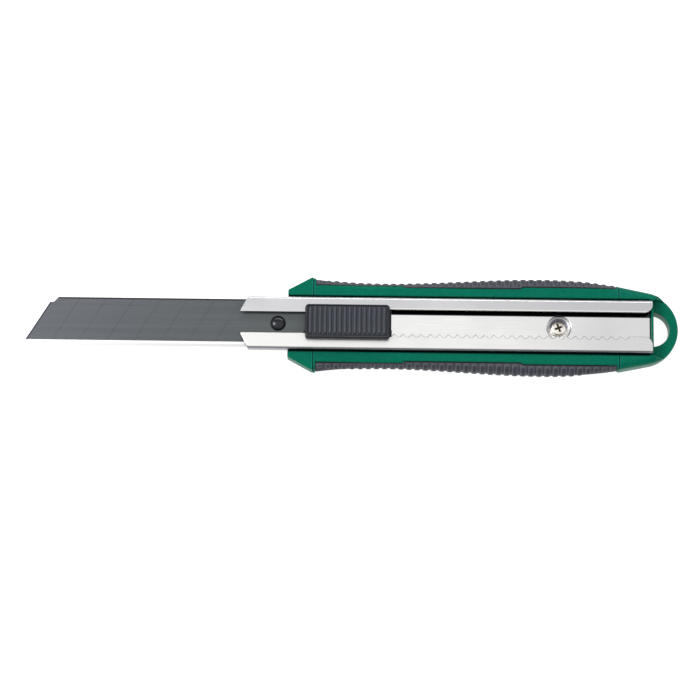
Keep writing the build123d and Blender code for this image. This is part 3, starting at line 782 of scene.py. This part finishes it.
def press_dimples(mesh):
    """Turns the cones of the dimples, on the channel's inner face, into smooth bowls."""
    low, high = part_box("channel_screws")
    floor = channel_floor()
    radius = (high.y - low.y) / 2
    axes = (low.x + radius, high.x - radius)
    work = bmesh.new()
    work.from_mesh(mesh)

    def from_axis(point):
        return min(math.hypot(point.co.x - x, point.co.y) for x in axes)

    slopes = []
    for edge in work.edges:
        upper, lower = sorted(edge.verts, key=lambda point: -point.co.z)
        leans = from_axis(upper) - from_axis(lower) > DIMPLE_LEAN
        if leans and abs(upper.co.z - floor) < CLOSE and from_axis(upper) < DIMPLE_REACH:
            slopes.append(edge)
    print("dimple slopes:", len(slopes))
    foot = min(point.co.z for edge in slopes for point in edge.verts)
    cut = bmesh.ops.subdivide_edges(work, edges=slopes, cuts=DIMPLE_RINGS, use_grid_fill=True)
    for point in cut["geom_inner"]:
        if isinstance(point, bmesh.types.BMVert):
            share = (point.co.z - foot) / (floor - foot)
            point.co.z = foot + (floor - foot) * share * share * (3 - 2 * share)
    work.to_mesh(mesh)
    work.free()


def make_channel():
    channel = place_piece("steel_channel", merged_copy("blade_channel"), STEEL)
    press_dimples(channel.data)
    round_edges(channel, LIP_ROUND)
    finish_piece(channel, "handle", "stainless", "blade_channel", turning=ROUNDED)


make_channel()

# %% [markdown]
# Geometry Nodes make what repeats. Each tree is built here in code, with its sizes as named inputs.
# The helpers below start a tree, read what the mesh stores, set copies in a row, end the tree, and
# run it on an object. Inputs are set by the socket's identifier, which never changes, and the
# result becomes a plain mesh.

# %% Helpers for Geometry Nodes
def new_tree(name, inputs):
    """A geometry tree with a geometry in and out, and the given named inputs."""
    tree = bpy.data.node_groups.new(name, "GeometryNodeTree")
    tree.interface.new_socket("Geometry", in_out="INPUT", socket_type="NodeSocketGeometry")
    for title, kind in inputs:
        tree.interface.new_socket(title, in_out="INPUT", socket_type="NodeSocket" + kind)
    tree.interface.new_socket("Geometry", in_out="OUTPUT", socket_type="NodeSocketGeometry")
    source = add(tree, "NodeGroupInput")
    target = add(tree, "NodeGroupOutput")
    return tree, source.outputs, target.inputs["Geometry"]


def stored(tree, name):
    """A value that the mesh carries at each point."""
    reader = add(tree, "GeometryNodeInputNamedAttribute", {"Name": name}, data_type="FLOAT")
    return reader.outputs["Attribute"]


def row_of_copies(tree, given, shape):
    """Copies of a shape on a line of points, by the inputs Count, First and Step."""
    row = add(tree, "GeometryNodeMeshLine", mode="OFFSET")
    for title, socket in (("Count", "Count"), ("First", "Start Location"), ("Step", "Offset")):
        tree.links.new(given[title], row.inputs[socket])
    copies = add(tree, "GeometryNodeInstanceOnPoints")
    tree.links.new(row.outputs["Mesh"], copies.inputs["Points"])
    tree.links.new(shape, copies.inputs["Instance"])
    return copies


def close_tree(tree, geometry, material_input, target):
    """Ends a tree: instances made real, and the finish set."""
    real = add(tree, "GeometryNodeRealizeInstances")
    paint = add(tree, "GeometryNodeSetMaterial")
    tree.links.new(geometry, real.inputs["Geometry"])
    tree.links.new(real.outputs["Geometry"], paint.inputs["Geometry"])
    tree.links.new(material_input, paint.inputs["Material"])
    tree.links.new(paint.outputs["Geometry"], target)


def run_tree(piece, tree, values):
    """Puts the tree on the piece with its inputs, and settles the result."""
    modifier = piece.modifiers.new(tree.name, "NODES")
    modifier.node_group = tree
    for item in tree.interface.items_tree:
        if item.in_out == "INPUT" and item.name in values:
            modifier[item.identifier] = values[item.name]
    return settle(piece)

# %% [markdown]
# Each grip is a long strip of rubber with a row of raised ribs. The ribs stand side by side along
# the knife, wrap over its edge, and shrink to round dots at the strip's ends. First comes the plain
# strip: at each station along it, rays fan out inside the CAD grip and find its skin. So the strip
# is a clean grid that follows the real curve, and each point stores where it lies along and around.

# %% Grip strips
STATION_STEP = 0.2 * MM
SECTION_POINTS = 44
FAN_HEIGHT = 5.2 * MM
FAN_INSET = 0.02 * MM
FAN_START = 1.1 * MM
END_INSET = 0.01 * MM
END_ROUND = 0.5 * MM
END_ROUND_SHARE = 0.6
RIB_FIRST = 1.65 * MM
RIB_MARGIN = 2.2 * MM
RIB_GROWTH = 24.0 * MM
RIB_GROWTH_CURVE = 1.3


def grip_section(skin, x, side, inner, pull):
    """The skin's points at one station, from the rail over the edge to the underside."""
    probe = Vector((x, side * (inner + FAN_START), FAN_HEIGHT))
    wall = skin.ray_cast(probe, Vector((0, -side, 0)))[0]
    centre = Vector((x, wall.y + side * FAN_INSET, FAN_HEIGHT))
    points = []
    for k in range(SECTION_POINTS):
        angle = math.pi / 2 - math.pi * k / (SECTION_POINTS - 1)
        way = Vector((0, side * math.cos(angle), math.sin(angle)))
        hit = skin.ray_cast(centre, way)[0]
        points.append(hit - way * pull)
    return points


def grip_strip(name, side):
    """The plain strip as a closed mesh, and what each of its points stores."""
    low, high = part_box(name)
    source = nodes[name].data
    corners = [v.co for v in source.vertices]
    skin = BVHTree.FromPolygons(corners, [tuple(p.vertices) for p in source.polygons])
    inner = min(abs(low.y), abs(high.y))
    steps = round((high.x - low.x) / STATION_STEP)
    middle = (low.x + high.x) / 2
    points, along, from_rail, rib_end = [], [], [], []
    for n in range(steps + 1):
        x = low.x + END_INSET + (high.x - low.x - 2 * END_INSET) * n / steps
        to_end = min(x - low.x, high.x - x)
        gap = max(END_ROUND - to_end, 0)
        pull = END_ROUND - math.sqrt(END_ROUND**2 - gap**2)
        section = grip_section(skin, x, side, inner, pull * END_ROUND_SHARE)
        travel = 0.0
        lengths = [0.0]
        for before, after in zip(section, section[1:]):
            travel += (after - before).length
            lengths.append(travel)
        grown = min(max(to_end - RIB_MARGIN, 0) / RIB_GROWTH, 1)
        full = travel - RIB_MARGIN - RIB_FIRST
        points += section
        along += [x - middle] * SECTION_POINTS
        from_rail += lengths
        rib_end += [RIB_FIRST + max(full, 0) * grown**RIB_GROWTH_CURVE] * SECTION_POINTS
    return points, along, from_rail, rib_end, steps


def strip_mesh(name, side):
    points, along, from_rail, rib_end, steps = grip_strip(name, side)
    width = SECTION_POINTS
    faces = []
    for n in range(steps):
        start, after = n * width, (n + 1) * width
        faces += [(start + k, start + k + 1, after + k + 1, after + k) for k in range(width - 1)]
        faces.append((start + width - 1, start, after, after + width - 1))
    faces.append(tuple(range(width)))
    faces.append(tuple(reversed(range(steps * width, (steps + 1) * width))))
    if side > 0:
        faces = [tuple(reversed(face)) for face in faces]
    mesh = bpy.data.meshes.new(name + "_strip")
    mesh.from_pydata(points, [], faces)
    for title, values in (("along", along), ("from_rail", from_rail), ("rib_end", rib_end)):
        mesh.attributes.new(title, "FLOAT", "POINT").data.foreach_set("value", values)
    return mesh

# %% [markdown]
# The rib tree works out, for each point of the strip, how far it is from the nearest rib's middle
# line, and sinks the points between ribs along their normals. A rib is a capsule: straight, with
# round ends, so a rib of no length is a dot. Sinking the gaps, and not raising the ribs, keeps the
# grip inside its CAD size.

# %% Rib tree
RIB_PITCH = 3.0 * MM
RIB_RADIUS = 1.12 * MM
RIB_SOFTNESS = 0.42 * MM
RIB_DEPTH = 0.38 * MM
RIM_WIDTH = 0.9 * MM        # beside the rail, the gaps between ribs run out over this width


def smooth_step(tree, source, start, end):
    """0 before start and 1 after end, with a soft change between."""
    step = add(tree, "ShaderNodeMapRange", interpolation_type="SMOOTHSTEP")
    for socket, value in (("Value", source), ("From Min", start), ("From Max", end)):
        if isinstance(value, float):
            step.inputs[socket].default_value = value
        else:
            tree.links.new(value, step.inputs[socket])
    return step.outputs["Result"]


def rib_tree():
    tree, given, target = new_tree(
        "ribs",
        [
            ("Pitch", "Float"),
            ("Count", "Float"),
            ("Radius", "Float"),
            ("Softness", "Float"),
            ("Depth", "Float"),
            ("Start", "Float"),
            ("Finish", "Material"),
        ],
    )
    along, around = stored(tree, "along"), stored(tree, "from_rail")
    last = calc(tree, "SUBTRACT", given["Count"], 1.0)
    half = calc(tree, "MULTIPLY", last, 0.5)
    nearest = calc(tree, "ADD", calc(tree, "DIVIDE", along, given["Pitch"]), half)
    number = calc(tree, "ROUND", nearest)
    number = calc(tree, "MINIMUM", calc(tree, "MAXIMUM", number, 0.0), last)
    line = calc(tree, "MULTIPLY", calc(tree, "SUBTRACT", number, half), given["Pitch"])
    beside = calc(tree, "SUBTRACT", along, line)
    before = calc(tree, "SUBTRACT", given["Start"], around)
    beyond = calc(tree, "SUBTRACT", around, stored(tree, "rib_end"))
    past = calc(tree, "MAXIMUM", calc(tree, "MAXIMUM", before, beyond), 0.0)
    squares = [calc(tree, "MULTIPLY", away, away) for away in (beside, past)]
    far = calc(tree, "SQRT", calc(tree, "ADD", *squares))
    crest = calc(tree, "SUBTRACT", given["Radius"], given["Softness"])
    sink = smooth_step(tree, far, crest, given["Radius"])
    rim = smooth_step(tree, around, 0.0, RIM_WIDTH)
    depth = calc(tree, "MULTIPLY", calc(tree, "MULTIPLY", sink, rim), given["Depth"])
    inward = calc(tree, "MULTIPLY", depth, -1.0)
    normal = add(tree, "GeometryNodeInputNormal")
    offset = add(tree, "ShaderNodeVectorMath", operation="SCALE")
    tree.links.new(normal.outputs["Normal"], offset.inputs[0])
    tree.links.new(inward, offset.inputs["Scale"])
    move = add(tree, "GeometryNodeSetPosition")
    tree.links.new(given["Geometry"], move.inputs["Geometry"])
    tree.links.new(offset.outputs["Vector"], move.inputs["Offset"])
    close_tree(tree, move.outputs["Geometry"], given["Finish"], target)
    return tree


ribs = rib_tree()
print("rib tree:", len(ribs.nodes), "nodes")

# %% [markdown]
# The two grips are made alike, and each follows its own CAD piece. The ribs that fit between the
# strip's ends are counted here, and the rib tree is run on each strip.

# %% Ribbed grips
GRIPS = (                   # CAD piece, new piece, and its side in Y
    ("upper_grip", "ribbed_grip_far", 1),
    ("lower_grip", "ribbed_grip_near", -1),
)

for name, new_name, side in GRIPS:
    low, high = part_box(name)
    grip = place_piece(new_name, strip_mesh(name, side), RUBBER)
    count = int((high.x - low.x - RIB_MARGIN) / RIB_PITCH) + 1
    run_tree(
        grip,
        ribs,
        {
            "Pitch": RIB_PITCH,
            "Count": float(count),
            "Radius": RIB_RADIUS,
            "Softness": RIB_SOFTNESS,
            "Depth": RIB_DEPTH,
            "Start": RIB_FIRST,
            "Finish": RUBBER,
        },
    )
    finish_piece(grip, "handle", "grip_rubber", name)
    print(new_name, "has", count, "ribs")

# %% [markdown]
# The thumb pad is a thin plate with sixteen round ridges across it, so that a thumb can push the
# slider both ways. One ridge is a sphere cut in two and pulled apart along Y. A line of points
# carries a copy of it to each place.

# %% Ridge tree
BALL_SEGMENTS = 24


def ridge_tree():
    tree, given, target = new_tree(
        "ridges",
        [
            ("Count", "Int"),
            ("First", "Vector"),
            ("Step", "Vector"),
            ("Radius", "Float"),
            ("Reach", "Float"),
            ("Finish", "Material"),
        ],
    )
    ball = add(tree, "GeometryNodeMeshUVSphere", {"Segments": BALL_SEGMENTS, "Rings": 12})
    tree.links.new(given["Radius"], ball.inputs["Radius"])
    turn = add(tree, "GeometryNodeTransform", {"Rotation": (0, 0, math.pi / BALL_SEGMENTS)})
    tree.links.new(ball.outputs["Mesh"], turn.inputs["Geometry"])
    place = add(tree, "GeometryNodeInputPosition")
    split = add(tree, "ShaderNodeSeparateXYZ")
    tree.links.new(place.outputs["Position"], split.inputs["Vector"])
    pull = calc(tree, "MULTIPLY", calc(tree, "SIGN", split.outputs["Y"]), given["Reach"])
    apart = add(tree, "ShaderNodeCombineXYZ")
    tree.links.new(pull, apart.inputs["Y"])
    ridge = add(tree, "GeometryNodeSetPosition")
    tree.links.new(turn.outputs["Geometry"], ridge.inputs["Geometry"])
    tree.links.new(apart.outputs["Vector"], ridge.inputs["Offset"])
    copies = row_of_copies(tree, given, ridge.outputs["Geometry"])
    both = add(tree, "GeometryNodeJoinGeometry")
    tree.links.new(given["Geometry"], both.inputs["Geometry"])
    tree.links.new(copies.outputs["Instances"], both.inputs["Geometry"])
    close_tree(tree, both.outputs["Geometry"], given["Finish"], target)
    return tree


ridges = ridge_tree()
print("ridge tree:", len(ridges.nodes), "nodes")

# %% [markdown]
# The plate under the ridges has round corners and is sunk in the button's frame. It takes its place
# from the CAD pad, and the ridges end at the CAD pad's top.

# %% Thumb pad
RIDGE_COUNT = 16
RIDGE_PITCH = 1.81 * MM
RIDGE_RADIUS = 0.66 * MM
RIDGE_MARGIN = 0.15 * MM
PLATE_THICKNESS = 0.5 * MM
PLATE_CORNER = 0.7 * MM


def rounded_plate(name, low, high, corner, steps=6):
    """A thin plate with round corners, from its lowest to its highest corner."""
    centres = [
        (high.x - corner, high.y - corner, 0),
        (low.x + corner, high.y - corner, 1),
        (low.x + corner, low.y + corner, 2),
        (high.x - corner, low.y + corner, 3),
    ]
    outline = []
    for cx, cy, quarter in centres:
        for k in range(steps + 1):
            angle = math.pi / 2 * (quarter + k / steps)
            outline.append((cx + corner * math.cos(angle), cy + corner * math.sin(angle)))
    count = len(outline)
    points = [(x, y, low.z) for x, y in outline] + [(x, y, high.z) for x, y in outline]
    faces = [tuple(reversed(range(count))), tuple(range(count, 2 * count))]
    faces += [(k, (k + 1) % count, count + (k + 1) % count, count + k) for k in range(count)]
    mesh = bpy.data.meshes.new(name)
    mesh.from_pydata(points, [], faces)
    return mesh


low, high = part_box("thumb_pad")
plate_top = Vector((high.x, high.y, low.z + PLATE_THICKNESS))
pad = place_piece("ridged_pad", rounded_plate("pad_plate", low, plate_top, PLATE_CORNER), PAD)
first_x = (low.x + high.x) / 2 - RIDGE_PITCH * (RIDGE_COUNT - 1) / 2
run_tree(
    pad,
    ridges,
    {
        "Count": RIDGE_COUNT,
        "First": (first_x, (low.y + high.y) / 2, high.z - RIDGE_RADIUS),
        "Step": (RIDGE_PITCH, 0, 0),
        "Radius": RIDGE_RADIUS,
        "Reach": (high.y - low.y) / 2 - RIDGE_MARGIN - RIDGE_RADIUS,
        "Finish": PAD,
    },
)
finish_piece(pad, "button", "pad_plastic", "thumb_pad")

# %% [markdown]
# Two machine screws hold the channel down. A screw is a turned part, so its outline is spun: a low
# domed head, a neck and ring-shaped thread crests. The cross recess is a tapered cross cut into the
# head. A tree then sets one copy on each of the two dimples, each turned by its own random angle.

# %% Screw body
SPIN_STEPS = 48
HEAD_THICKNESS = 0.95 * MM
HEAD_DOME = 0.45 * MM
HEAD_STEPS = 8
HEAD_FULLNESS = 0.8
HEAD_CORNER = 0.1 * MM
SHANK_RADIUS = 1.5 * MM
POINT_LENGTH = 0.2 * MM
THREAD_PITCH = 0.5 * MM
THREAD_DEPTH = 0.18 * MM
RECESS_SPAN = 1.75 * MM
RECESS_HALF = 0.42 * MM
RECESS_DEPTH = 0.75 * MM
RECESS_TAPER = 0.55


def spun(name, outline, steps=SPIN_STEPS):
    """A closed mesh from an outline of (radius, height), whose ends lie on the axis."""
    points = [(0, 0, outline[0][1])]
    for radius, height in outline[1:-1]:
        for k in range(steps):
            angle = 2 * math.pi * k / steps
            points.append((radius * math.cos(angle), radius * math.sin(angle), height))
    points.append((0, 0, outline[-1][1]))
    last = len(points) - 1
    rows = len(outline) - 2
    faces = []
    for k in range(steps):
        after = (k + 1) % steps
        faces.append((0, 1 + k, 1 + after))
        for row in range(rows - 1):
            here, below = 1 + row * steps, 1 + (row + 1) * steps
            faces.append((here + k, below + k, below + after, here + after))
        end = 1 + (rows - 1) * steps
        faces.append((last, end + after, end + k))
    mesh = bpy.data.meshes.new(name)
    mesh.from_pydata(points, [], faces)
    return mesh


def screw_outline(head_radius, shank_radius, length, head_height):
    """From the head's crown down to the point; the head's seat is at height 0."""
    side = head_height - HEAD_DOME
    outline = [(0, head_height)]
    for k in range(1, HEAD_STEPS + 1):
        angle = math.pi / 2 * k / HEAD_STEPS
        radius = head_radius * math.sin(angle) ** HEAD_FULLNESS
        outline.append((radius, side + HEAD_DOME * math.cos(angle)))
    outline += [(head_radius, HEAD_CORNER), (head_radius - HEAD_CORNER, 0), (shank_radius, 0)]
    root = shank_radius - THREAD_DEPTH
    height = -THREAD_PITCH
    while height > -length + 2 * THREAD_PITCH:
        outline.append((shank_radius, height))
        outline.append((root, height - THREAD_PITCH / 2))
        height -= THREAD_PITCH
    return outline + [(root, -length + POINT_LENGTH), (shank_radius / 2, -length), (0, -length)]


def cross_cutter(top):
    """A tapered cross, from above the head down to the recess's floor."""
    span, half = RECESS_SPAN, RECESS_HALF
    ring = [(span, half), (half, half), (half, span)]
    turned = []
    for quarter in range(4):
        angle = quarter * math.pi / 2
        c, s = round(math.cos(angle)), round(math.sin(angle))
        turned += [(c * x - s * y, s * x + c * y) for x, y in ring]
    count = len(turned)
    points = [(x, y, top + 1 * MM) for x, y in turned]
    points += [(x, y, top) for x, y in turned]
    points += [(x * RECESS_TAPER, y * RECESS_TAPER, top - RECESS_DEPTH) for x, y in turned]
    faces = [tuple(range(count)), tuple(reversed(range(2 * count, 3 * count)))]
    for row in (0, count):
        for k in range(count):
            after = (k + 1) % count
            faces.append((row + k, row + count + k, row + count + after, row + after))
    mesh = bpy.data.meshes.new("cross")
    mesh.from_pydata(points, [], faces)
    return bpy.data.objects.new("cross", mesh)


low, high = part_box("channel_screws")
head_radius = (high.y - low.y) / 2
head_seat = high.z - HEAD_THICKNESS
crown = high.z - head_seat
outline = screw_outline(head_radius, SHANK_RADIUS, head_seat - low.z, crown)
screws = place_piece("cross_screws", spun("screw", outline), NICKEL)
cutter = cross_cutter(crown)
bpy.context.collection.objects.link(cutter)
cut = screws.modifiers.new("recess", "BOOLEAN")
cut.object = cutter
cut.operation = "DIFFERENCE"
cut.solver = "EXACT"
settle(screws)
bpy.data.objects.remove(cutter)
middle_depth = crown - RECESS_DEPTH / 2
deep = []
for point in screws.data.vertices:
    deep.append(float(point.co.xy.length < RECESS_SPAN and 0 < point.co.z < middle_depth))
screws.data.attributes.new("recess", "FLOAT", "POINT").data.foreach_set("value", deep)
print("one screw:", len(screws.data.polygons), "faces")

# %% [markdown]
# No two screws stop at the same turn, so the tree draws an angle for each copy from a fixed seed.

# %% Screw tree
SCREW_TURN = (0.3, 0.9)     # the least and the most, in radians
SCREW_SEED = 4


def scatter_tree():
    tree, given, target = new_tree(
        "screws_in_place",
        [
            ("Count", "Int"),
            ("First", "Vector"),
            ("Step", "Vector"),
            ("Seed", "Int"),
            ("Finish", "Material"),
        ],
    )
    angle = add(tree, "FunctionNodeRandomValue", data_type="FLOAT")
    limits = [s for s in angle.inputs if s.type == "VALUE"]
    limits[0].default_value = SCREW_TURN[0]
    limits[1].default_value = SCREW_TURN[1]
    tree.links.new(given["Seed"], angle.inputs["Seed"])
    turn = add(tree, "ShaderNodeCombineXYZ")
    tree.links.new(next(s for s in angle.outputs if s.type == "VALUE"), turn.inputs["Z"])
    copies = row_of_copies(tree, given, given["Geometry"])
    tree.links.new(turn.outputs["Vector"], copies.inputs["Rotation"])
    close_tree(tree, copies.outputs["Instances"], given["Finish"], target)
    return tree


run_tree(
    screws,
    scatter_tree(),
    {
        "Count": 2,
        "First": (low.x + head_radius, 0, head_seat),
        "Step": (high.x - low.x - 2 * head_radius, 0, 0),
        "Seed": SCREW_SEED,
        "Finish": NICKEL,
    },
)
finish_piece(screws, "handle", "plated_screw", "channel_screws")

# %% [markdown]
# The peg that carries the blade is a round black stud with a polished dome. It's spun like the
# screws: a flat foot on the slider, a straight land through the blade's hole, and the dome.

# %% Blade peg
PEG_STEPS = 64
PEG_SHANK = 1.2 * MM
DOME_STEPS = 14
LAND_TOP = 0.62 * MM


def peg_outline(radius, shank, bottom, foot, top):
    """From the dome's crown down to the rivet's end."""
    land = foot + LAND_TOP
    outline = [(0, top)]
    for k in range(1, DOME_STEPS + 1):
        angle = math.pi / 2 * k / DOME_STEPS
        outline.append((radius * math.sin(angle), land + (top - land) * math.cos(angle)))
    return outline + [(radius, foot), (shank, foot), (shank, bottom), (0, bottom)]


low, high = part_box("blade_peg")
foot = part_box("blade")[0].z
outline = peg_outline((high.y - low.y) / 2, PEG_SHANK, low.z, foot, high.z)
mesh = spun("peg", outline, PEG_STEPS)
mesh.transform(Matrix.Translation(((low.x + high.x) / 2, (low.y + high.y) / 2, 0)))
peg = place_piece("domed_peg", mesh, GLOSSY)
finish_piece(peg, "carriage", "black_plastic", "blade_peg")

# %% [markdown]
# Last, the script prints that it has finished.

# %% End
print("finished")
